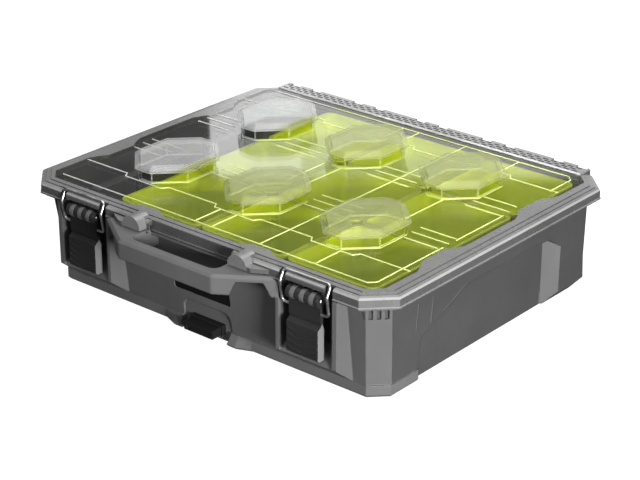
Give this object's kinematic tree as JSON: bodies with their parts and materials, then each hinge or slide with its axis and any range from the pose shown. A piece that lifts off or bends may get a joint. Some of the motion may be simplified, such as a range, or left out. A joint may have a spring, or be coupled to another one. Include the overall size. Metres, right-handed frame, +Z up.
{
  "type": "small parts organizer",
  "caption": "Portable stacking parts organizer: hinged lid with clear window and studs, lift-out bins, wire-bail latches, front carry handle and a sprung stack lock.",
  "frame": {"origin": "centre of the outline in plan, on the ground under the case", "axes": "+X to the right along the front, -Y towards the front with the handle and latches, +Z up"},
  "size_m": [0.5, 0.4486, 0.1445],
  "materials": {
    "case_plastic": "finely textured moulded polypropylene, dark grey",
    "lid_plastic": "smoky translucent moulded plastic",
    "window_plastic": "clear moulded polycarbonate",
    "bin_plastic": "satin moulded polypropylene, lime green",
    "black_plastic": "satin moulded plastic, near black",
    "steel": "zinc plated",
    "steel_wire": "bright plated spring wire"
  },
  "bodies": {
    "case": {"case_body": "case_plastic", "bin_front_left": "bin_plastic", "bin_front_centre": "bin_plastic", "bin_front_right": "bin_plastic", "bin_middle_left": "bin_plastic", "bin_middle_centre": "bin_plastic", "bin_middle_right": "bin_plastic", "bin_rear_left": "bin_plastic", "bin_rear_centre": "bin_plastic", "bin_rear_right": "bin_plastic", "front_plate": "black_plastic", "hinge_pins": "steel", "left_latch_pin": "steel", "right_latch_pin": "steel", "lock_spring_left": "steel", "lock_spring_right": "steel", "lock_cover": "case_plastic", "lock_screws": "steel"},
    "lid": {"lid_frame": "lid_plastic", "lid_window": "window_plastic"},
    "left_lever": {"left_latch_lever": "black_plastic"},
    "left_bail": {"left_latch_bail": "steel_wire"},
    "right_lever": {"right_latch_lever": "black_plastic"},
    "right_bail": {"right_latch_bail": "steel_wire"},
    "lock": {"lock_slide": "black_plastic"}
  },
  "joints": [
    {"name": "lid_hinge", "type": "hinge", "parent": "case", "child": "lid", "pos_m": [0, 0.21775, 0.115], "axis": [-1, 0, 0], "range_deg": [0, 110]},
    {"name": "left_latch_hinge", "type": "hinge", "parent": "case", "child": "left_lever", "pos_m": [-0.155, -0.18675, 0.1035], "axis": [-1, 0, 0], "range_deg": [0, 115]},
    {"name": "left_bail_hinge", "type": "hinge", "parent": "left_lever", "child": "left_bail", "pos_m": [-0.155, -0.18625, 0.0895], "axis": [-1, 0, 0], "range_deg": [-81, 0]},
    {"name": "right_latch_hinge", "type": "hinge", "parent": "case", "child": "right_lever", "pos_m": [0.155, -0.18675, 0.1035], "axis": [-1, 0, 0], "range_deg": [0, 115]},
    {"name": "right_bail_hinge", "type": "hinge", "parent": "right_lever", "child": "right_bail", "pos_m": [0.155, -0.18625, 0.0895], "axis": [-1, 0, 0], "range_deg": [-81, 0]},
    {"name": "stack_lock", "type": "slide", "parent": "case", "child": "lock", "axis": [0, 1, 0], "range_m": [0, 0.007], "stiffness_N_per_m": 400, "springref_m": -0.002, "deforming": ["lock_spring_left", "lock_spring_right"]}
  ],
  "couplings": [
    {"joint": "left_bail_hinge", "follows": "left_latch_hinge", "ratio": -0.7},
    {"joint": "right_bail_hinge", "follows": "right_latch_hinge", "ratio": -0.7}
  ]
}
